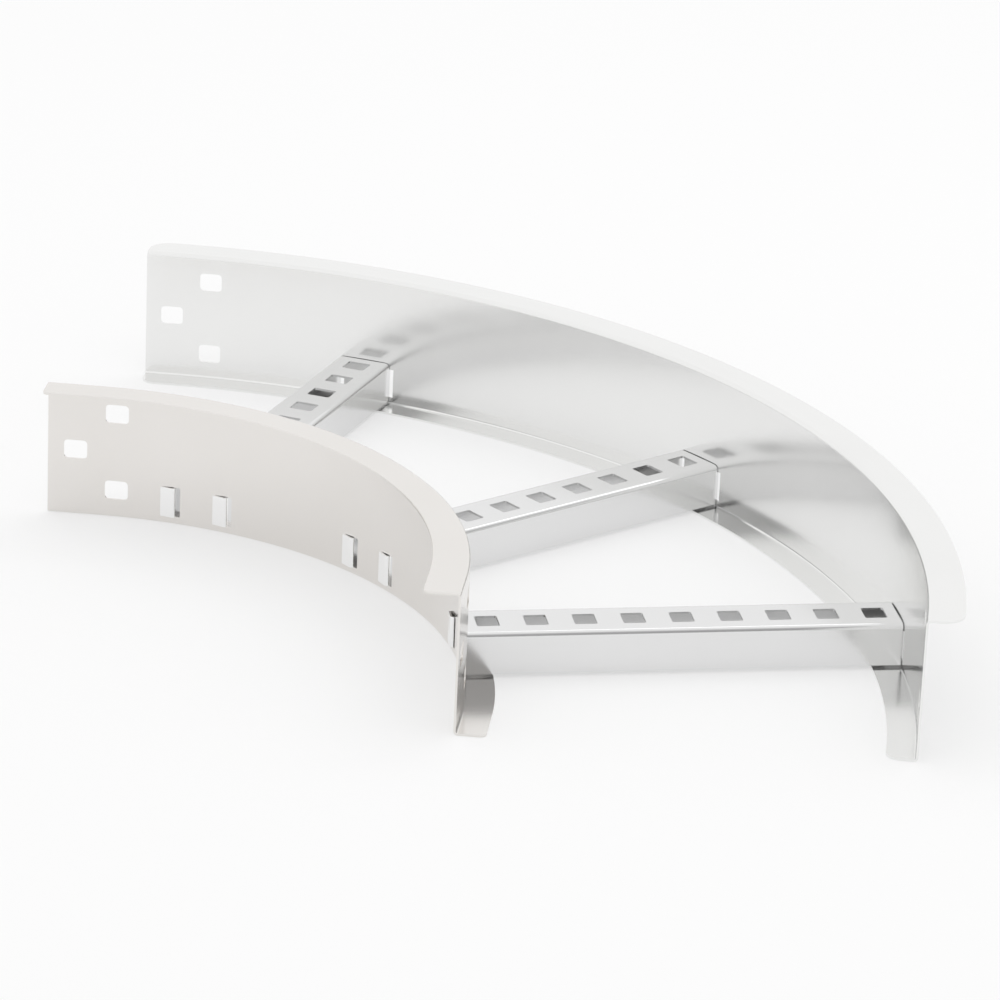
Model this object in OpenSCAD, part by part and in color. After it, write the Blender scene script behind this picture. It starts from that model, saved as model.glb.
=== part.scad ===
// Horizontal cable ladder bend, 90 degrees: two Z-section side rails of folded sheet, curved about
// one centre, joined by three perforated rungs whose end tabs are folded over behind the rail webs.

/* [Bend] */
// Clear width between the webs of the two side rails, mm
tray_width = 300; // [200:10:450]
// Radius of the bend at the tray side of the inner web, mm
bend_radius = 300; // [240:10:600]
// Straight length of the inner side rail past the bend at each end, mm
inner_run = 36; // [20:1:80]
// Straight length of the outer side rail past the bend at each end, mm
outer_run = 18; // [17:1:80]

/* [Side rails] */
// Thickness of the folded sheet of rails and rungs, mm
sheet = 1.5; // [1:0.25:2]
// Overall height of the side rails, mm
side_height = 100; // [90:1:150]
// Width of the top flange, turned away from the tray, mm
top_flange = 25; // [18:1:35]
// Width of the bottom flange, turned in under the tray, mm
bottom_flange = 20; // [15:1:30]
// Inside radius of the rail folds, mm
rail_fold = 1.5; // [1:0.25:3]
// Corner radius at the ends of the outer rail's top flange, mm
outer_top_corner = 16; // [4:1:20]
// Corner radius at the ends of the outer rail's bottom flange, mm
outer_bottom_corner = 10; // [3:1:12]
// Corner radius at the ends of the inner rail's flanges, mm
inner_corner = 4; // [2:1:10]

/* [Splice holes] */
// Length of each splice hole along the rail, mm
splice_length = 17; // [10:1:20]
// Height of each splice hole, mm
splice_height = 14; // [8:1:16]
// Corner radius of each splice hole, mm
splice_corner = 3; // [1:0.5:3.5]
// Distance from the rail end to the centre of the middle hole, mm
splice_inset = 20; // [15:1:24]
// Step along the rail from the middle hole to the upper and lower holes, mm
splice_step = 30; // [24:1:36]
// Height of the upper hole above the middle one, and of the lower hole below it, mm
splice_rise = 29; // [18:1:30]

/* [Rungs] */
// Outside width of each rung, mm
rung_width = 42; // [36:1:56]
// Height of each rung, mm
rung_height = 30; // [29:1:34]
// Clearance between the bottom folds of the rails and the lower edges of the rungs, mm
rung_seat_gap = 0.25; // [0.1:0.05:2]
// Inside radius of the rung folds, mm
rung_fold = 2; // [1:0.25:3]
// Number of holes along each rung
rung_holes = 9; // [5:1:9]
// Length of each rung hole along the rung, mm
rung_hole_length = 15.5; // [8:0.5:18]
// Width of each rung hole across the rung, mm
rung_hole_width = 17.5; // [8:0.5:22]
// Corner radius of each rung hole, mm
rung_hole_corner = 1.5; // [0.5:0.25:3]
// Gap between each rung end and the web it faces, mm
rung_end_gap = 0.5; // [0.25:0.25:1.5]

/* [Tabs] */
// Length of the folded plate of each tab along the web, mm
tab_length = 11; // [6:1:14]
// Inside radius of the tab folds, mm
tab_fold = 1; // [0.5:0.25:1.5]
// Angle between each tab's plate and the web that its tip rests on, degrees
tab_tilt = 8; // [4:1:10]
// Height of each tab, mm
tab_height = 22; // [16:0.5:22.5]
// Height of the tabs' lower edges above the lower edges of the rungs, mm
tab_rise = 3; // [1:0.5:4]
// Open width of each web slot beside its tab, mm
slot_opening = 3.25; // [2:0.25:5]
// Clearance between a tab and the edges of its slot, mm
slot_clearance = 0.3; // [0.1:0.1:0.6]

/* [Hidden] */
$fn = 96;
rung_count = 3;
bend_angle = 90;
past = 5;                                               // overshoot of every cutting body
fold_steps = 6;                                         // flats round the fold of a tab
inner_face = bend_radius;                               // tray side of the inner web
outer_face = bend_radius + tray_width;                  // tray side of the outer web
inner_back = inner_face - sheet;                        // far side of the inner web
outer_back = outer_face + sheet;                        // far side of the outer web
inner_lip = inner_face - top_flange;                    // free edge of the inner top flange
outer_lip = outer_face + top_flange;                    // free edge of the outer top flange
inner_toe = inner_face + bottom_flange;                 // free edge of the inner bottom flange
outer_toe = outer_face - bottom_flange;                 // free edge of the outer bottom flange
rung_pitch = tray_width / rung_holes;
rung_start = inner_face + rung_end_gap;
rung_end = sqrt(pow(outer_face, 2) - pow(rung_width / 2, 2)) - rung_end_gap;
rung_lift = sheet + rail_fold + rung_seat_gap;          // lower edges of the rungs
rung_top = rung_lift + rung_height;
tab_foot = rung_lift + tab_rise;                        // lower edges of the tabs and of their slots
half_out = rung_width / 2;
half_in = half_out - sheet;
reach = max(inner_run, outer_run);
middle = (outer_lip - reach) / 2;                       // bend centre to the middle of the footprint

// quarter ring of sheet around a fold's centre, in the quadrant given by the two signs
module fold_ring(centre, radius, sx, sz) {
    big = radius + sheet;
    translate(centre) intersection() {
        difference() {
            circle(r = big);
            circle(r = radius);
        }
        translate([sx > 0 ? 0 : -big, sz > 0 ? 0 : -big]) square(big);
    }
}

// Z section of the outer rail: across is the distance from the bend centre
module outer_section() {
    big = rail_fold + sheet;
    translate([outer_face, big]) square([sheet, side_height - 2 * big]);
    fold_ring([outer_back + rail_fold, side_height - big], rail_fold, -1, 1);
    translate([outer_back + rail_fold, side_height - sheet])
        square([outer_lip - outer_back - rail_fold, sheet]);
    fold_ring([outer_face - rail_fold, big], rail_fold, 1, -1);
    translate([outer_toe, 0]) square([outer_face - rail_fold - outer_toe, sheet]);
}

// Z section of the inner rail, the other way round
module inner_section() {
    big = rail_fold + sheet;
    translate([inner_back, big]) square([sheet, side_height - 2 * big]);
    fold_ring([inner_back - rail_fold, side_height - big], rail_fold, 1, 1);
    translate([inner_lip, side_height - sheet])
        square([inner_back - rail_fold - inner_lip, sheet]);
    fold_ring([inner_face + rail_fold, big], rail_fold, -1, -1);
    translate([inner_face + rail_fold, 0]) square([inner_toe - inner_face - rail_fold, sheet]);
}

// puts its child at the first end of the bend and, turned over, at the second end
module both_ends() {
    children();
    rotate(bend_angle) mirror([0, 1, 0]) children();
}

// straight length of the section in front of the first end of the bend
module straight_run(run) {
    rotate([90, 0, 0]) linear_extrude(height = run) children();
}

// what is taken off a square flange corner to leave a quarter round; side tells which way it faces
module corner_cut(at, run, radius, side, low, high) {
    translate([at - side * radius, radius - run, low]) difference() {
        translate([side > 0 ? 0 : -radius - past, -radius - past, 0])
            cube([radius + past, radius + past, high - low]);
        translate([0, 0, -1]) cylinder(r = radius, h = high - low + 2);
    }
}

// rectangle with rounded corners, centred
module rounded(length, width, corner) {
    square([length - 2 * corner, width], center = true);
    square([length, width - 2 * corner], center = true);
    for (x = [-1, 1], y = [-1, 1])
        translate([x * (length / 2 - corner), y * (width / 2 - corner)]) circle(r = corner);
}

// one splice hole, cut through the web along the first end's cross direction
module splice_hole(face, run, along, height) {
    translate([face - 3 * past, along - run, height]) rotate([90, 0, 90])
        linear_extrude(height = 6 * past) rounded(splice_length, splice_height, splice_corner);
}

// the three splice holes of one rail end
module splice_holes(face, run) {
    splice_hole(face, run, splice_inset, side_height / 2);
    for (s = [-1, 1])
        splice_hole(face, run, splice_inset + splice_step, side_height / 2 + s * splice_rise);
}

// places its child on each rung's line
module at_rung(index) {
    rotate(bend_angle * (index - 0.5) / rung_count) children();
}

// web slots for the two tabs of every rung: each is open beside its tab, the tab rests on its foot
module tab_slots(face) {
    for (i = [1:rung_count], foot = [half_in, -half_out])
        at_rung(i) translate([face - 2 * past, foot - slot_opening, tab_foot])
            cube([4 * past, slot_opening + sheet + slot_clearance, tab_height + slot_clearance]);
}

module inner_rail() color("silver") difference() {
    union() {
        rotate_extrude(angle = bend_angle) inner_section();
        both_ends() straight_run(inner_run) inner_section();
    }
    both_ends() {
        corner_cut(inner_lip, inner_run, inner_corner, -1, side_height / 2, side_height + past);
        corner_cut(inner_toe, inner_run, inner_corner, 1, -past, side_height / 2);
        splice_holes(inner_face, inner_run);
    }
    tab_slots(inner_face);
}

module outer_rail() color("silver") difference() {
    union() {
        rotate_extrude(angle = bend_angle) outer_section();
        both_ends() straight_run(outer_run) outer_section();
    }
    both_ends() {
        corner_cut(outer_lip, outer_run, outer_top_corner, 1, side_height / 2, side_height + past);
        corner_cut(outer_toe, outer_run, outer_bottom_corner, -1, -past, side_height / 2);
        splice_holes(outer_face, outer_run);
    }
    tab_slots(outer_face);
}

// inverted channel section of a rung: across is the rung's width
module rung_section() {
    big = rung_fold + sheet;
    for (s = [-1, 1]) {
        translate([s > 0 ? half_in : -half_out, rung_lift])
            square([sheet, rung_height - big]);
        fold_ring([s * (half_out - big), rung_top - big], rung_fold, s, 1);
    }
    translate([big - half_out, rung_top - sheet]) square([rung_width - 2 * big, sheet]);
}

// tab of the side wall that starts at foot, for the web whose far side is at back; side is -1 for the
// inner web and 1 for the outer one. In plan: stem through the slot, rounded fold standing clear of the
// web, flat plate that comes back to the web with its tip.
module tab(foot, back, side) {
    heel = foot + sheet;
    lean = asin((foot + tab_length) / back) + side * tab_tilt;
    along = [-sin(lean), cos(lean)];
    out = side * [cos(lean), sin(lean)];
    plate = (tab_length - sheet - tab_fold) * along;
    tip = heel + tab_fold + tab_fold * out[1] + plate[1];
    rest = sqrt(pow(back, 2) - pow(tip, 2)) - tab_fold * out[0] - plate[0];
    edge = sqrt(pow(back, 2) - pow(heel, 2));
    seat = side < 0 ? min(rest, edge) : max(rest, edge);
    root = side < 0 ? rung_start + past : rung_end - past;
    turn = [for (k = [0:fold_steps]) (90 * side + lean) * k / fold_steps - 90];
    round = [for (a = turn) [cos(a), sin(a)]];
    centre = [seat, heel + tab_fold];
    outside = [for (r = round) centre + (tab_fold + sheet) * r];
    inside = [for (k = [fold_steps:-1:0]) centre + tab_fold * round[k]];
    translate([0, 0, tab_foot]) linear_extrude(height = tab_height)
        polygon(concat([[root, foot]], outside, [outside[fold_steps] + plate, inside[0] + plate],
            inside, [[root, heel]]));
}

// one rung along its own line: punched channel with four tabs folded over the same way
module rung(index) color("gainsboro") at_rung(index) {
    difference() {
        translate([rung_start, 0, 0]) rotate([90, 0, 90])
            linear_extrude(height = rung_end - rung_start) rung_section();
        for (k = [0:rung_holes - 1])
            translate([inner_face + (k + 0.5) * rung_pitch, 0, rung_top - sheet - past])
                linear_extrude(height = sheet + 2 * past)
                    rounded(rung_hole_length, rung_hole_width, rung_hole_corner);
    }
    for (foot = [half_in, -half_out]) {
        tab(foot, inner_back, -1);
        tab(foot, outer_back, 1);
    }
}

// moves the whole part so that the middle of its footprint is the origin
module placed() {
    translate([-middle, -middle, 0]) children();
}

placed() inner_rail();
placed() outer_rail();
placed() rung(1);  // rung_1
placed() rung(2);  // rung_2
placed() rung(3);  // rung_3
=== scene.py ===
import bpy
import math
from mathutils import Matrix, Vector


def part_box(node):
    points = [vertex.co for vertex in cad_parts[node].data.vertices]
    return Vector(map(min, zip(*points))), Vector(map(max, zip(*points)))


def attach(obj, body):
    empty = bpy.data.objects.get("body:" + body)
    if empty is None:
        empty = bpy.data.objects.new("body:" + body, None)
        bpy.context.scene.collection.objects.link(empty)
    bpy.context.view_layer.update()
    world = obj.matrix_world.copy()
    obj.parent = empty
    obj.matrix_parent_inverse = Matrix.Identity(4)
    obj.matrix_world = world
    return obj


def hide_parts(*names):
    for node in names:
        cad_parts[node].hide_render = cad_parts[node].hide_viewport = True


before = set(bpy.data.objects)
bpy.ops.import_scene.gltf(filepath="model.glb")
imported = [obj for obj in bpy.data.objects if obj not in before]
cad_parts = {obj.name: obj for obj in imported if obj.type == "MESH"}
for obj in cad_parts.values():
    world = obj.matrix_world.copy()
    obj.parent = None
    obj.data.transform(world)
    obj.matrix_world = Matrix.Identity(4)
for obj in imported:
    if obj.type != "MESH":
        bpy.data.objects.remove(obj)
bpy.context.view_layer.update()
print("frame loaded:", ", ".join(sorted(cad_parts)))

# the sheet that everything is folded from and the bend that both rails follow, in metres and degrees
sheet = {"thickness": 0.0015, "foldSteps": 8, "sharpAngle": 30, "flatWeight": 100, "weld": 0.00001}
bend = {"innerFace": 0.300, "outerFace": 0.600, "outerLip": 0.625, "arcSteps": 120,
        "rungAngles": (15, 45, 75)}
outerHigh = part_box("outer_rail")[1]
bendCentre = Vector((outerHigh[0] - bend["outerLip"], outerHigh[1] - bend["outerLip"], 0.0))


def linear(hexColour):    # sRGB hex to linear RGBA
    channels = [int(hexColour[i:i + 2], 16) / 255 for i in (0, 2, 4)]
    return [c / 12.92 if c <= 0.04045 else ((c + 0.055) / 1.055) ** 2.4 for c in channels] + [1.0]


# links gives each input, by name or number, an output socket, a list of them or a plain value
def addNode(tree, kind, settings=None, links=None):
    node = tree.nodes.new(kind)
    for name, value in (settings or {}).items():
        setattr(node, name, value)
    for socket, source in (links or {}).items():
        if isinstance(source, bpy.types.NodeSocket):
            tree.links.new(source, node.inputs[socket])
        elif isinstance(source, list) and isinstance(source[0], bpy.types.NodeSocket):
            for one in source:
                tree.links.new(one, node.inputs[socket])
        else:
            node.inputs[socket].default_value = source
    return node


# steel sheet with a bright zinc coat: pale silver, a soft blurred mirror, faint rolling grain in the gloss,
# and cloudy patches where it was handled; the inner rail is drawn a little darker and warmer, as painted
# shade and a painted warm reflection, and the rungs a little greyer
sheetFinish = {
    "grainLength": 0.150, "grainWidth": 0.0025,    # rolling lines, drawn coarser than real so that they show
    "grainDetail": 3.0, "grainShare": 0.4,
    "cloud": 0.090, "cloudDetail": 4.0,            # handling patches
    "dullFrom": 0.4, "dullTo": 1.0,                # grain and patches together, from smoothest to roughest
    "wave": 0.140, "waveDepth": 0.00025, "waveStrength": 0.4,    # slow buckle of thin sheet
}
# painted shade: the inner rail is the same sheet as the outer one, but its colours are set darker and warmer
# to stand in for the shaded, warm surroundings its web mirrors
innerRailShadedFinish = {"colour": "EAE7E4", "shade": "E4E1DD", "roughness": 0.18, "roughnessSpread": 0.05}
outerRailFinish = {"colour": "F2F2F1", "shade": "ECECEB", "roughness": 0.18, "roughnessSpread": 0.05}
# the rungs' brightest colour is a painted highlight on the tabs, standing in for the light they mirror
rungFinish = {"colour": "E8E8E8", "shade": "E2E2E2", "paintedHighlight": "F8F8F8",
              "roughness": 0.18, "roughnessSpread": 0.05}


# alongRadius: the sheet was rolled along the radius, as on the rungs, and otherwise along the arc
def rolledSheet(name, finish, alongRadius):
    material = bpy.data.materials.new(name)
    material.use_nodes = True
    tree = material.node_tree
    shader = tree.nodes["Principled BSDF"]
    place = addNode(tree, "ShaderNodeTexCoord")
    # distance from the bend's centre, length along the arc and height
    fromCentre = addNode(tree, "ShaderNodeVectorMath", {"operation": "SUBTRACT"}, {
        0: place.outputs["Object"], 1: bendCentre})
    split = addNode(tree, "ShaderNodeSeparateXYZ", links={0: fromCentre.outputs[0]})
    flat = addNode(tree, "ShaderNodeCombineXYZ", links={0: split.outputs[0], 1: split.outputs[1]})
    length = addNode(tree, "ShaderNodeVectorMath", {"operation": "LENGTH"}, {0: flat.outputs[0]})
    radius = length.outputs["Value"]
    angle = addNode(tree, "ShaderNodeMath", {"operation": "ARCTAN2"}, {
        0: split.outputs[1], 1: split.outputs[0]})
    turned = addNode(tree, "ShaderNodeMath", {"operation": "MULTIPLY"}, {0: angle.outputs[0], 1: radius})
    arc = turned.outputs[0]
    along, across = (radius, arc) if alongRadius else (arc, radius)
    rolled = addNode(tree, "ShaderNodeCombineXYZ", links={0: along, 1: across, 2: split.outputs[2]})
    squeeze = sheetFinish["grainWidth"] / sheetFinish["grainLength"]
    drawn = addNode(tree, "ShaderNodeVectorMath", {"operation": "MULTIPLY"}, {
        0: rolled.outputs[0], 1: (squeeze, 1.0, 1.0)})
    grain = addNode(tree, "ShaderNodeTexNoise", links={
        "Vector": drawn.outputs[0], "Scale": 1 / sheetFinish["grainWidth"],
        "Detail": sheetFinish["grainDetail"]})
    cloud = addNode(tree, "ShaderNodeTexNoise", links={
        "Vector": place.outputs["Object"], "Scale": 1 / sheetFinish["cloud"],
        "Detail": sheetFinish["cloudDetail"]})
    wave = addNode(tree, "ShaderNodeTexNoise", links={
        "Vector": place.outputs["Object"], "Scale": 1 / sheetFinish["wave"], "Detail": 0.0})
    # inputs 6 and 7 of a colour mix are its two colours
    tint = addNode(tree, "ShaderNodeMix", {"data_type": "RGBA"}, {
        0: cloud.outputs["Fac"], 6: linear(finish["shade"]), 7: linear(finish["colour"])})
    colour = tint.outputs[2]
    if "paintedHighlight" in finish:    # painted highlight: the tabs outside the webs are drawn brighter than the rest, standing in for the brighter reflection they catch
        fromMiddle = addNode(tree, "ShaderNodeMath", {"operation": "SUBTRACT"}, {
            0: radius, 1: (bend["innerFace"] + bend["outerFace"]) / 2})
        away = addNode(tree, "ShaderNodeMath", {"operation": "ABSOLUTE"}, {0: fromMiddle.outputs[0]})
        folded = addNode(tree, "ShaderNodeMath", {"operation": "GREATER_THAN"}, {
            0: away.outputs[0], 1: (bend["outerFace"] - bend["innerFace"]) / 2 + sheet["thickness"] / 2})
        shine = addNode(tree, "ShaderNodeMix", {"data_type": "RGBA"}, {
            0: folded.outputs[0], 6: colour, 7: linear(finish["paintedHighlight"])})
        colour = shine.outputs[2]
    dull = addNode(tree, "ShaderNodeMath", {"operation": "MULTIPLY_ADD"}, {
        0: grain.outputs["Fac"], 1: sheetFinish["grainShare"], 2: cloud.outputs["Fac"]})
    rough = addNode(tree, "ShaderNodeMapRange", links={
        "Value": dull.outputs[0], "From Min": sheetFinish["dullFrom"], "From Max": sheetFinish["dullTo"],
        "To Min": finish["roughness"] - finish["roughnessSpread"] / 2,
        "To Max": finish["roughness"] + finish["roughnessSpread"] / 2})
    buckle = addNode(tree, "ShaderNodeBump", links={
        "Strength": sheetFinish["waveStrength"], "Distance": sheetFinish["waveDepth"],
        "Height": wave.outputs["Fac"]})
    shader.inputs["Metallic"].default_value = 1.0
    tree.links.new(colour, shader.inputs["Base Color"])
    tree.links.new(rough.outputs[0], shader.inputs["Roughness"])
    tree.links.new(buckle.outputs[0], shader.inputs["Normal"])
    return material


innerRailSheet = rolledSheet("zincCoatedSheetInnerRail", innerRailShadedFinish, False)
outerRailSheet = rolledSheet("zincCoatedSheetOuterRail", outerRailFinish, False)
rungSheet = rolledSheet("zincCoatedSheetRungs", rungFinish, True)
print("sheet finishes made")


# geometry nodes: a tree starts from named sizes and ends as plain geometry with its finish
def startTree(name, sizes):
    kinds = {bpy.types.Object: "Object", bpy.types.Material: "Material", int: "Int", float: "Float"}
    tree = bpy.data.node_groups.new(name, "GeometryNodeTree")
    tree.interface.new_socket("Base", in_out="INPUT", socket_type="NodeSocketGeometry")
    for size, value in sizes.items():
        tree.interface.new_socket(size, in_out="INPUT", socket_type="NodeSocket" + kinds[type(value)])
    tree.interface.new_socket("Piece", in_out="OUTPUT", socket_type="NodeSocketGeometry")
    return tree, addNode(tree, "NodeGroupInput").outputs


def endTree(tree, solid, finish):
    smooth = addNode(tree, "GeometryNodeSetShadeSmooth", {"domain": "FACE"}, {"Geometry": solid})
    angle = addNode(tree, "GeometryNodeInputMeshEdgeAngle")
    soft = addNode(tree, "FunctionNodeCompare", {"data_type": "FLOAT", "operation": "LESS_THAN"}, {
        0: angle.outputs["Unsigned Angle"], 1: math.radians(sheet["sharpAngle"])})
    creased = addNode(tree, "GeometryNodeSetShadeSmooth", {"domain": "EDGE"}, {
        "Geometry": smooth.outputs[0], "Shade Smooth": soft.outputs[0]})
    plain = addNode(tree, "GeometryNodeRealizeInstances", links={"Geometry": creased.outputs[0]})
    dressed = addNode(tree, "GeometryNodeSetMaterial", links={
        "Geometry": plain.outputs[0], "Material": finish})
    addNode(tree, "NodeGroupOutput", links={0: dressed.outputs[0]})


# sheet folded to a section of corner points (across, minus height) and drawn along a path
def foldedSheet(tree, size, path, corners):
    line = addNode(tree, "GeometryNodeMeshLine", links={"Count": len(corners)})
    number = addNode(tree, "GeometryNodeInputIndex")
    pick = addNode(tree, "GeometryNodeIndexSwitch", {"data_type": "VECTOR"}, {"Index": number.outputs[0]})
    while len(pick.index_switch_items) < len(corners):
        pick.index_switch_items.new()
    for i, (across, down) in enumerate(corners):
        corner = addNode(tree, "ShaderNodeCombineXYZ", links={0: across, 1: down})
        tree.links.new(corner.outputs[0], pick.inputs[i + 1])
    section = addNode(tree, "GeometryNodeSetPosition", links={
        "Geometry": line.outputs[0], "Position": pick.outputs[0]})
    bent = addNode(tree, "GeometryNodeMeshToCurve", links={"Mesh": section.outputs[0]})
    half = addNode(tree, "ShaderNodeMath", {"operation": "MULTIPLY"}, {0: size["Sheet"], 1: 0.5})
    middleRadius = addNode(tree, "ShaderNodeMath", {"operation": "ADD"}, {
        0: size["Fold radius"], 1: half.outputs[0]})
    rounded = addNode(tree, "GeometryNodeFilletCurve", {"mode": "POLY"}, {
        "Curve": bent.outputs[0], "Count": sheet["foldSteps"], "Radius": middleRadius.outputs[0]})
    upright = addNode(tree, "GeometryNodeSetCurveNormal", {"mode": "Z_UP"}, {"Curve": path})
    strip = addNode(tree, "GeometryNodeCurveToMesh", links={
        "Curve": upright.outputs[0], "Profile Curve": rounded.outputs[0]})
    # half the sheet to one side of the strip, then the whole thickness back, and the first side closes it
    normal = addNode(tree, "GeometryNodeInputNormal")
    back = addNode(tree, "ShaderNodeMath", {"operation": "MULTIPLY"}, {0: size["Sheet"], 1: -0.5})
    step = addNode(tree, "ShaderNodeVectorMath", {"operation": "SCALE"}, {
        "Vector": normal.outputs[0], "Scale": back.outputs[0]})
    under = addNode(tree, "GeometryNodeSetPosition", links={
        "Geometry": strip.outputs[0], "Offset": step.outputs[0]})
    over = addNode(tree, "GeometryNodeExtrudeMesh", {"mode": "FACES"}, {
        "Mesh": under.outputs[0], "Offset Scale": size["Sheet"], "Individual": False})
    turned = addNode(tree, "GeometryNodeFlipFaces", links={"Mesh": under.outputs[0]})
    both = addNode(tree, "GeometryNodeJoinGeometry", links={0: [over.outputs["Mesh"], turned.outputs[0]]})
    closed = addNode(tree, "GeometryNodeMergeByDistance", links={
        "Geometry": both.outputs[0], "Distance": sheet["weld"]})
    return closed.outputs[0]


# copies of a cutter on the points of another object, each turned about the upright by its own angle
def onPlaces(tree, places, cutter):
    spots = addNode(tree, "GeometryNodeObjectInfo", links={"Object": places})
    angle = addNode(tree, "GeometryNodeInputNamedAttribute", {"data_type": "FLOAT"}, {"Name": "turn"})
    turn = addNode(tree, "ShaderNodeCombineXYZ", links={2: angle.outputs["Attribute"]})
    copies = addNode(tree, "GeometryNodeInstanceOnPoints", links={
        "Points": spots.outputs["Geometry"], "Instance": cutter, "Rotation": turn.outputs[0]})
    return addNode(tree, "GeometryNodeRealizeInstances", links={0: copies.outputs[0]}).outputs[0]


def roundedBore(tree, length, width, corner, start, end):    # punch with rounded corners between two points
    outline = addNode(tree, "GeometryNodeCurvePrimitiveQuadrilateral", links={
        "Width": length, "Height": width})
    eased = addNode(tree, "GeometryNodeFilletCurve", {"mode": "POLY"}, {
        "Curve": outline.outputs[0], "Count": sheet["foldSteps"], "Radius": corner})
    axis = addNode(tree, "GeometryNodeCurvePrimitiveLine", links={"Start": start, "End": end})
    return addNode(tree, "GeometryNodeCurveToMesh", links={
        "Curve": axis.outputs[0], "Profile Curve": eased.outputs[0], "Fill Caps": True}).outputs[0]


def placesObject(name, spots):    # spots: x, y, z and turn, measured from the bend's centre
    mesh = bpy.data.meshes.new(name)
    mesh.from_pydata([(bendCentre.x + x, bendCentre.y + y, z) for x, y, z, turn in spots], [], [])
    turns = mesh.attributes.new("turn", "FLOAT", "POINT")
    turns.data.foreach_set("value", [turn for x, y, z, turn in spots])
    places = bpy.data.objects.new(name, mesh)
    bpy.context.collection.objects.link(places)
    return places


def pathMesh(name, lines):    # one open chain of edges for each list of points
    points, edges = [], []
    for line in lines:
        edges += [(len(points) + i, len(points) + i + 1) for i in range(len(line) - 1)]
        points += line
    mesh = bpy.data.meshes.new(name)
    mesh.from_pydata(points, edges, [])
    return mesh


# runs the tree on base and puts the plain mesh in place of the CAD node
def shaped(name, base, tree, sizes, nodeName):
    grown = bpy.data.objects.new(name + "Base", base)
    bpy.context.collection.objects.link(grown)
    modifier = grown.modifiers.new("shape", "NODES")
    modifier.node_group = tree
    for socket in tree.interface.items_tree:
        if socket.in_out == "INPUT" and socket.name in sizes:
            modifier[socket.identifier] = sizes[socket.name]
    evened = grown.modifiers.new("flatFaces", "WEIGHTED_NORMAL")
    evened.keep_sharp = True
    evened.weight = sheet["flatWeight"]
    bpy.context.view_layer.update()
    mesh = bpy.data.meshes.new_from_object(grown.evaluated_get(bpy.context.evaluated_depsgraph_get()))
    bpy.data.objects.remove(grown)
    mesh.name = name
    piece = bpy.data.objects.new(name, mesh)
    bpy.context.collection.objects.link(piece)
    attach(piece, "root")
    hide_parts(nodeName)
    print(name, "made,", len(mesh.polygons), "faces")


# the two rails: Z sections that follow the bend, with splice holes at the ends and slots for the rung tabs
rail = {"height": 0.100, "topFlange": 0.025, "bottomFlange": 0.020, "foldRadius": 0.0015}
innerRail = {"face": bend["innerFace"], "outward": -1.0, "run": 0.036,
             "topCorner": 0.004, "bottomCorner": 0.004, "finish": innerRailSheet}
outerRail = {"face": bend["outerFace"], "outward": 1.0, "run": 0.018,
             "topCorner": 0.016, "bottomCorner": 0.010, "finish": outerRailSheet}
spliceHoles = {"length": 0.017, "height": 0.014, "corner": 0.003,
               "inset": 0.020, "step": 0.030, "rise": 0.029}

# the rungs: punched channels with four tabs each
rung = {"width": 0.042, "height": 0.030, "lift": 0.00325, "foldRadius": 0.002, "endGap": 0.0005,
        "holes": 9, "holeLength": 0.0155, "holeWidth": 0.0175, "holeCorner": 0.0015}
tab = {"length": 0.011, "height": 0.022, "foot": 0.00625, "foldRadius": 0.001, "tilt": 8,
       "root": 0.003, "thinning": 0.99, "slotOpening": 0.00325, "slotClearance": 0.0003}
slotWidth = tab["slotOpening"] + sheet["thickness"] + tab["slotClearance"]
slotHeight = tab["height"] + tab["slotClearance"]
wallFeet = (rung["width"] / 2 - sheet["thickness"], -rung["width"] / 2)    # lower-angle side of each wall

# how far the cutting tools reach past the sheet, and the block and disc that round off a flange's corner
tools = {"splicePunch": 0.012, "rungPunch": 0.006, "slotDepth": 0.020,
         "blockMargin": 0.005, "blockHeight": 0.020, "discHeight": 0.030, "discSides": 96}


def railPlaces(name, one):
    face, run, side = one["face"], one["run"], one["outward"]
    middle = rail["height"] / 2
    second = spliceHoles["inset"] + spliceHoles["step"] - run
    alongs = [(spliceHoles["inset"] - run, middle)]
    alongs += [(second, middle + s * spliceHoles["rise"]) for s in (-1, 1)]
    holes = [(face, along, z, 0.0) for along, z in alongs]
    holes += [(along, face, z, math.pi / 2) for along, z in alongs]
    slots = []
    for degrees in bend["rungAngles"]:
        a = math.radians(degrees)
        for foot in wallFeet:
            across = foot - tab["slotOpening"] + slotWidth / 2
            slots.append((face * math.cos(a) - across * math.sin(a),
                          face * math.sin(a) + across * math.cos(a), tab["foot"] + slotHeight / 2, a))
    corners = {}
    for flange, at, facing, z in (("top", face + side * rail["topFlange"], side, rail["height"]),
                                  ("bottom", face - side * rail["bottomFlange"], -side, 0.0)):
        radius = one[flange + "Corner"]
        x, y = at - facing * radius, radius - run
        turns = (0.0, math.pi) if facing > 0 else (-math.pi / 2, -math.pi / 2)
        corners[flange] = [(x, y, z, turns[0]), (y, x, z, turns[1])]
    return {"Hole places": placesObject(name + "Holes", holes),
            "Slot places": placesObject(name + "Slots", slots),
            "Top corner places": placesObject(name + "TopCorners", corners["top"]),
            "Bottom corner places": placesObject(name + "BottomCorners", corners["bottom"])}


def railSizes(one):
    return {"Sheet": sheet["thickness"], "Height": rail["height"], "Top flange": rail["topFlange"],
            "Bottom flange": rail["bottomFlange"], "Fold radius": rail["foldRadius"],
            "Outward": one["outward"], "Hole length": spliceHoles["length"],
            "Hole height": spliceHoles["height"], "Hole corner": spliceHoles["corner"],
            "Slot width": slotWidth, "Slot height": slotHeight,
            "Top corner": one["topCorner"], "Bottom corner": one["bottomCorner"], "Finish": one["finish"]}


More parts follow.
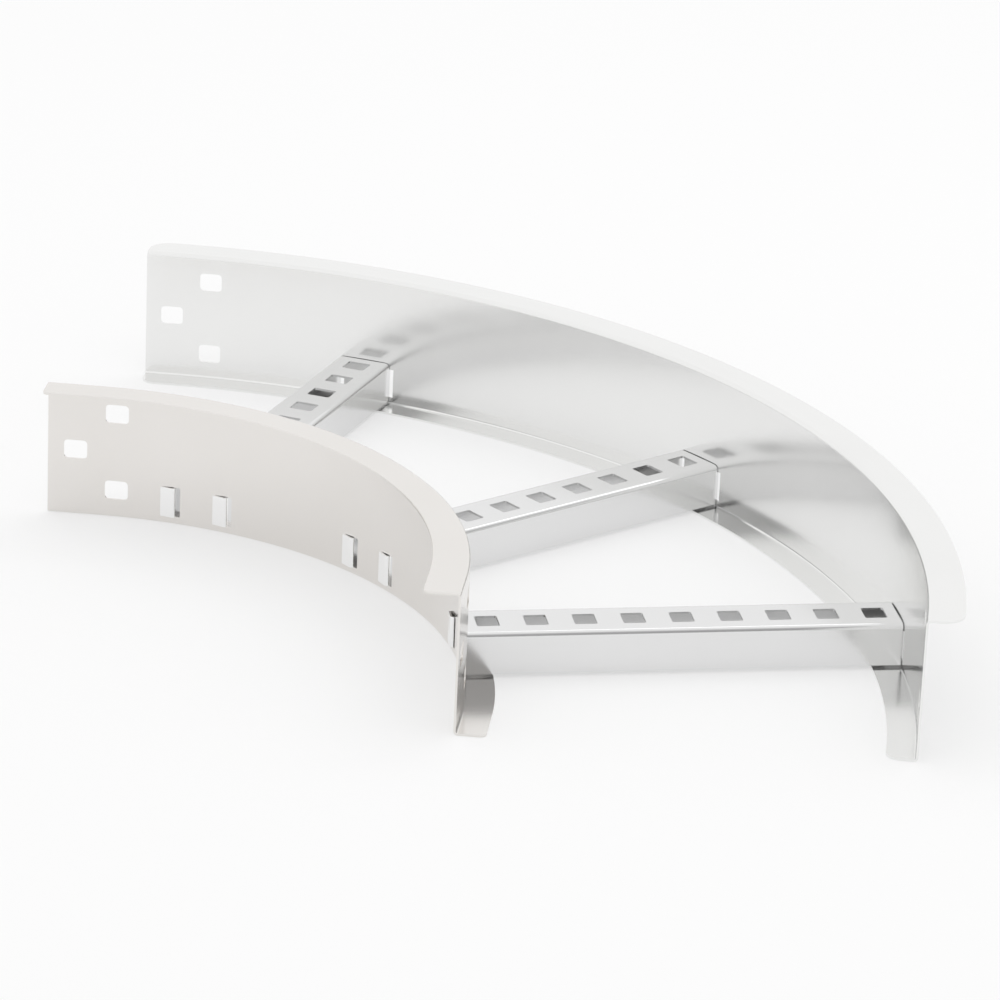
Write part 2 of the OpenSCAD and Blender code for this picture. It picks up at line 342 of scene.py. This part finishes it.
def railTree(sizes):
    tree, size = startTree("foldedRail", sizes)
    half = addNode(tree, "ShaderNodeMath", {"operation": "MULTIPLY"}, {0: size["Sheet"], 1: 0.5})
    web = addNode(tree, "ShaderNodeMath", {"operation": "MULTIPLY"}, {0: half.outputs[0], 1: size["Outward"]})
    lip = addNode(tree, "ShaderNodeMath", {"operation": "MULTIPLY"}, {
        0: size["Top flange"], 1: size["Outward"]})
    inward = addNode(tree, "ShaderNodeMath", {"operation": "MULTIPLY"}, {0: size["Outward"], 1: -1.0})
    toe = addNode(tree, "ShaderNodeMath", {"operation": "MULTIPLY"}, {
        0: size["Bottom flange"], 1: inward.outputs[0]})
    top = addNode(tree, "ShaderNodeMath", {"operation": "SUBTRACT"}, {0: half.outputs[0], 1: size["Height"]})
    foot = addNode(tree, "ShaderNodeMath", {"operation": "MULTIPLY"}, {0: size["Sheet"], 1: -0.5})
    path = addNode(tree, "GeometryNodeMeshToCurve", links={"Mesh": size["Base"]})
    solid = foldedSheet(tree, size, path.outputs[0], (
        (lip.outputs[0], top.outputs[0]), (web.outputs[0], top.outputs[0]),
        (web.outputs[0], foot.outputs[0]), (toe.outputs[0], foot.outputs[0])))
    punch = roundedBore(tree, size["Hole length"], size["Hole height"], size["Hole corner"],
                        (-tools["splicePunch"], 0, 0), (tools["splicePunch"], 0, 0))
    slotSize = addNode(tree, "ShaderNodeCombineXYZ", links={
        0: tools["slotDepth"], 1: size["Slot width"], 2: size["Slot height"]})
    slot = addNode(tree, "GeometryNodeMeshCube", links={"Size": slotSize.outputs[0]})
    cutters = [onPlaces(tree, size["Hole places"], punch),
               onPlaces(tree, size["Slot places"], slot.outputs["Mesh"])]
    for flange in ("Top", "Bottom"):    # square block less a disc leaves what a round corner cuts away
        radius = size[flange + " corner"]
        side = addNode(tree, "ShaderNodeMath", {"operation": "ADD"}, {0: radius, 1: tools["blockMargin"]})
        blockSize = addNode(tree, "ShaderNodeCombineXYZ", links={
            0: side.outputs[0], 1: side.outputs[0], 2: tools["blockHeight"]})
        block = addNode(tree, "GeometryNodeMeshCube", links={"Size": blockSize.outputs[0]})
        shift = addNode(tree, "ShaderNodeVectorMath", {"operation": "MULTIPLY"}, {
            0: blockSize.outputs[0], 1: (0.5, -0.5, 0.0)})
        moved = addNode(tree, "GeometryNodeTransform", links={
            "Geometry": block.outputs["Mesh"], "Translation": shift.outputs[0]})
        disc = addNode(tree, "GeometryNodeMeshCylinder", links={
            "Vertices": tools["discSides"], "Radius": radius, "Depth": tools["discHeight"]})
        corner = addNode(tree, "GeometryNodeMeshBoolean", {"operation": "DIFFERENCE", "solver": "EXACT"}, {
            "Mesh 1": moved.outputs[0], "Mesh 2": disc.outputs["Mesh"]})
        cutters.append(onPlaces(tree, size[flange + " corner places"], corner.outputs["Mesh"]))
    cut = addNode(tree, "GeometryNodeMeshBoolean", {"operation": "DIFFERENCE", "solver": "EXACT"}, {
        "Mesh 1": solid, "Mesh 2": cutters})
    endTree(tree, cut.outputs["Mesh"], size["Finish"])
    return tree


def railPath(one):    # straight run, quarter turn, straight run, on the tray side of the web
    face, run, steps = one["face"], one["run"], bend["arcSteps"]
    angles = [math.pi / 2 * k / steps for k in range(steps + 1)]
    flat = [(face, -run)] + [(face * math.cos(a), face * math.sin(a)) for a in angles] + [(-run, face)]
    return [(bendCentre.x + x, bendCentre.y + y, 0.0) for x, y in flat]


railPieces = (("innerRail", innerRail, "inner_rail"), ("outerRail", outerRail, "outer_rail"))
railInputs = [{**railSizes(one), **railPlaces(name, one)} for name, one, nodeName in railPieces]
foldedRail = railTree(railInputs[0])
for (name, one, nodeName), sizes in zip(railPieces, railInputs):
    shaped(name, pathMesh(name + "Path", [railPath(one)]), foldedRail, sizes, nodeName)
    for places in [value for value in sizes.values() if isinstance(value, bpy.types.Object)]:
        bpy.data.objects.remove(places)

# a rung is drawn along the x axis and then turned to its own angle
rungStart = bend["innerFace"] + rung["endGap"]
rungEnd = math.sqrt(bend["outerFace"] ** 2 - (rung["width"] / 2) ** 2) - rung["endGap"]
holePitch = (bend["outerFace"] - bend["innerFace"]) / rung["holes"]
rungSizes = {"Sheet": sheet["thickness"], "Width": rung["width"], "Height": rung["height"],
             "Lift": rung["lift"], "Fold radius": rung["foldRadius"], "Start": rungStart, "End": rungEnd,
             "Holes": rung["holes"], "Hole length": rung["holeLength"], "Hole width": rung["holeWidth"],
             "Hole corner": rung["holeCorner"], "First hole": bend["innerFace"] + holePitch / 2,
             "Hole pitch": holePitch, "Tab height": tab["height"],
             "Tab fold": tab["foldRadius"] + sheet["thickness"] / 2, "Turn": 0.0, "Finish": rungSheet}


# middle line of one tab in plan: stem through the web, fold, and plate whose tip rests on the web
def tabPath(foot, back, side):
    thick, fold = sheet["thickness"], tab["foldRadius"]
    heel = foot + thick
    lean = math.asin((foot + tab["length"]) / back) + side * math.radians(tab["tilt"])
    along = Vector((-math.sin(lean), math.cos(lean)))
    out = Vector((math.cos(lean), math.sin(lean))) * side
    plate = along * (tab["length"] - thick - fold)
    tip = heel + fold + fold * out.y + plate.y
    seat = math.sqrt(back ** 2 - tip ** 2) - fold * out.x - plate.x
    middle = Vector((seat, heel + fold)) + out * (fold + thick / 2)
    corner = middle + along * ((foot + thick / 2 - middle.y) / along.y)
    root = rungStart + tab["root"] if side < 0 else rungEnd - tab["root"]
    z = tab["foot"] + tab["height"] / 2
    return [(root, foot + thick / 2, z), (corner.x, corner.y, z),
            (middle.x + plate.x, middle.y + plate.y, z)]


def rungTree(sizes):
    tree, size = startTree("punchedRung", sizes)
    start = addNode(tree, "ShaderNodeCombineXYZ", links={0: size["Start"]})
    end = addNode(tree, "ShaderNodeCombineXYZ", links={0: size["End"]})
    axis = addNode(tree, "GeometryNodeCurvePrimitiveLine", links={
        "Start": start.outputs[0], "End": end.outputs[0]})
    between = addNode(tree, "ShaderNodeMath", {"operation": "SUBTRACT"}, {0: size["Width"], 1: size["Sheet"]})
    right = addNode(tree, "ShaderNodeMath", {"operation": "MULTIPLY"}, {0: between.outputs[0], 1: 0.5})
    left = addNode(tree, "ShaderNodeMath", {"operation": "MULTIPLY"}, {0: between.outputs[0], 1: -0.5})
    foot = addNode(tree, "ShaderNodeMath", {"operation": "MULTIPLY"}, {0: size["Lift"], 1: -1.0})
    crown = addNode(tree, "ShaderNodeMath", {"operation": "ADD"}, {0: size["Lift"], 1: size["Height"]})
    half = addNode(tree, "ShaderNodeMath", {"operation": "MULTIPLY"}, {0: size["Sheet"], 1: 0.5})
    top = addNode(tree, "ShaderNodeMath", {"operation": "SUBTRACT"}, {
        0: half.outputs[0], 1: crown.outputs[0]})
    channel = foldedSheet(tree, size, axis.outputs[0], (
        (left.outputs[0], foot.outputs[0]), (left.outputs[0], top.outputs[0]),
        (right.outputs[0], top.outputs[0]), (right.outputs[0], foot.outputs[0])))
    # the row of holes along the middle of the top
    first = addNode(tree, "ShaderNodeCombineXYZ", links={0: size["First hole"], 2: crown.outputs[0]})
    pitch = addNode(tree, "ShaderNodeCombineXYZ", links={0: size["Hole pitch"]})
    row = addNode(tree, "GeometryNodeMeshLine", links={
        "Count": size["Holes"], "Start Location": first.outputs[0], "Offset": pitch.outputs[0]})
    punch = roundedBore(tree, size["Hole length"], size["Hole width"], size["Hole corner"],
                        (0, 0, -tools["rungPunch"]), (0, 0, tools["rungPunch"]))
    punches = addNode(tree, "GeometryNodeInstanceOnPoints", links={
        "Points": row.outputs[0], "Instance": punch})
    bores = addNode(tree, "GeometryNodeRealizeInstances", links={0: punches.outputs[0]})
    punched = addNode(tree, "GeometryNodeMeshBoolean", {"operation": "DIFFERENCE", "solver": "EXACT"}, {
        "Mesh 1": channel, "Mesh 2": bores.outputs[0]})
    # tabs: a strip of sheet on edge along each path, a hair thinner so that no face lies on a side wall's own
    paths = addNode(tree, "GeometryNodeMeshToCurve", links={"Mesh": size["Base"]})
    folded = addNode(tree, "GeometryNodeFilletCurve", {"mode": "POLY"}, {
        "Curve": paths.outputs[0], "Count": sheet["foldSteps"], "Radius": size["Tab fold"]})
    upright = addNode(tree, "GeometryNodeSetCurveNormal", {"mode": "Z_UP"}, {"Curve": folded.outputs[0]})
    thin = addNode(tree, "ShaderNodeMath", {"operation": "MULTIPLY"}, {0: size["Sheet"], 1: tab["thinning"]})
    edge = addNode(tree, "GeometryNodeCurvePrimitiveQuadrilateral", links={
        "Width": thin.outputs[0], "Height": size["Tab height"]})
    tabs = addNode(tree, "GeometryNodeCurveToMesh", links={
        "Curve": upright.outputs[0], "Profile Curve": edge.outputs[0], "Fill Caps": True})
    whole = addNode(tree, "GeometryNodeMeshBoolean", {"operation": "UNION", "solver": "EXACT"}, {
        "Mesh 2": [punched.outputs["Mesh"], tabs.outputs[0]]})
    spin = addNode(tree, "ShaderNodeCombineXYZ", links={2: size["Turn"]})
    placed = addNode(tree, "GeometryNodeTransform", links={
        "Geometry": whole.outputs["Mesh"], "Translation": bendCentre, "Rotation": spin.outputs[0]})
    endTree(tree, placed.outputs[0], size["Finish"])
    return tree


punchedRung = rungTree(rungSizes)
webBacks = ((bend["innerFace"] - sheet["thickness"], -1), (bend["outerFace"] + sheet["thickness"], 1))
tabPaths = [tabPath(foot, back, side) for foot in wallFeet for back, side in webBacks]
for number, degrees in enumerate(bend["rungAngles"], 1):
    shaped("rung%d" % number, pathMesh("tabPaths%d" % number, tabPaths), punchedRung,
           {**rungSizes, "Turn": math.radians(degrees)}, "rung_%d" % number)

# plain pale studio floor with a soft shadow, white far behind; the room to the right of the camera is darker
studio = {"floorSize": 12.0, "floorColour": "FBFBFB", "floorRoughness": 0.9, "lightThrough": 0.55,
          "worldLevel": 1.0, "ambient": 0.92,
          "roomLevel": 0.40, "roomWay": (0.75, -0.62, 0.22), "roomSpread": (20, 60)}    # spread in degrees
bpy.ops.mesh.primitive_plane_add(size=studio["floorSize"], location=(0, 0, 0))
floor = bpy.context.object
floor.name = "studioFloor"
# opal acrylic sheet: matt white, no gloss, and some light comes up through it and lifts the shadow
opal = bpy.data.materials.new("opalAcrylicTable")
opal.use_nodes = True
table = opal.node_tree
tableTop = table.nodes["Principled BSDF"]
tableTop.inputs["Base Color"].default_value = linear(studio["floorColour"])
tableTop.inputs["Roughness"].default_value = studio["floorRoughness"]
tableTop.inputs["Specular IOR Level"].default_value = 0.0
glow = addNode(table, "ShaderNodeBsdfTranslucent", links={"Color": linear(studio["floorColour"])})
tableMix = addNode(table, "ShaderNodeMixShader", links={
    0: studio["lightThrough"], 1: tableTop.outputs[0], 2: glow.outputs[0]})
table.links.new(tableMix.outputs[0], table.nodes["Material Output"].inputs["Surface"])
floor.data.materials.append(opal)

world = bpy.data.worlds.new("studioWhite")
bpy.context.scene.world = world
world.use_nodes = True
sky = world.node_tree
background = sky.nodes["Background"]
rays = addNode(sky, "ShaderNodeLightPath")
seen = addNode(sky, "ShaderNodeMath", {"operation": "MAXIMUM"}, {
    0: rays.outputs["Is Camera Ray"], 1: rays.outputs["Is Glossy Ray"]})
seenThrough = addNode(sky, "ShaderNodeMath", {"operation": "MAXIMUM"}, {
    0: seen.outputs[0], 1: rays.outputs["Is Transmission Ray"]})
level = addNode(sky, "ShaderNodeMapRange", links={
    "Value": seenThrough.outputs[0], "To Min": studio["ambient"], "To Max": studio["worldLevel"]})
# the metal's folds mirror the darker room as a thin line; the camera itself always sees white
way = addNode(sky, "ShaderNodeTexCoord")
toRoom = addNode(sky, "ShaderNodeVectorMath", {"operation": "DOT_PRODUCT"}, {
    0: way.outputs["Generated"], 1: studio["roomWay"]})
near, far = (math.cos(math.radians(degrees)) for degrees in studio["roomSpread"])
room = addNode(sky, "ShaderNodeMapRange", {"interpolation_type": "SMOOTHSTEP"}, {
    "Value": toRoom.outputs["Value"], "From Min": far, "From Max": near,
    "To Min": 1.0, "To Max": studio["roomLevel"]})
mirrored = addNode(sky, "ShaderNodeMix", {"data_type": "FLOAT"}, {
    0: rays.outputs["Is Glossy Ray"], 2: 1.0, 3: room.outputs[0]})
strength = addNode(sky, "ShaderNodeMath", {"operation": "MULTIPLY"}, {
    0: level.outputs[0], 1: mirrored.outputs[0]})
background.inputs["Color"].default_value = (1.0, 1.0, 1.0, 1.0)
sky.links.new(strength.outputs[0], background.inputs["Strength"])

# soft boxes: place, the point each faces, size and power; the big one stays out of reflections, so that
# flat sheet seen from above keeps its tone, and the strip draws the white lines along the rungs' folds
lamps = {
    "overheadBox": {"place": (0.0, 0.2, 2.6), "aim": (0, 0, 0), "size": (3.0, 4.0), "power": 12,
                    "mirrored": False},
    "backStrip": {"place": (1.0, 1.35, 2.3), "aim": (1.0, 0, 0), "size": (2.0, 0.5), "power": 3,
                  "mirrored": True},
}


def aimed(place, aim, roll=0.0):    # matrix that looks from place to aim, turned about the view line by roll
    back = (Vector(place) - Vector(aim)).normalized()
    right = Vector((0, 0, 1)).cross(back).normalized()
    up = back.cross(right)
    turn = Matrix.Rotation(roll, 3, back)
    axes = Matrix((turn @ right, turn @ up, back)).transposed()
    return Matrix.Translation(place) @ axes.to_4x4()


for name, lamp in lamps.items():
    data = bpy.data.lights.new(name, "AREA")
    data.shape = "RECTANGLE"
    data.size, data.size_y = lamp["size"]
    data.energy = lamp["power"]
    box = bpy.data.objects.new(name, data)
    bpy.context.collection.objects.link(box)
    box.matrix_world = aimed(lamp["place"], lamp["aim"])
    box.visible_glossy = lamp["mirrored"]
print("studio set with", len(lamps), "soft boxes")

# long lens from the front, a little from the right, as the photograph was taken; sensor and lens in mm
view = {"azimuth": 5.417, "elevation": 21.253, "roll": 2.504, "distance": 3.607,
        "aim": (-0.0030, -0.0043, 0.0397), "lens": 182.84, "sensor": 36.0, "clipEnd": 50.0}
azimuth, elevation = math.radians(view["azimuth"]), math.radians(view["elevation"])
offset = Vector((math.sin(azimuth) * math.cos(elevation), -math.cos(azimuth) * math.cos(elevation),
                 math.sin(elevation)))
camera = bpy.data.objects.new("camera", bpy.data.cameras.new("camera"))
bpy.context.collection.objects.link(camera)
camera.data.lens = view["lens"]
camera.data.sensor_width = view["sensor"]
camera.data.clip_end = view["clipEnd"]
camera.matrix_world = aimed(Vector(view["aim"]) + offset * view["distance"], view["aim"],
                            math.radians(view["roll"]))
bpy.context.scene.camera = camera
bpy.context.scene.view_settings.view_transform = "Standard"
print("camera at", [round(v, 3) for v in camera.location])
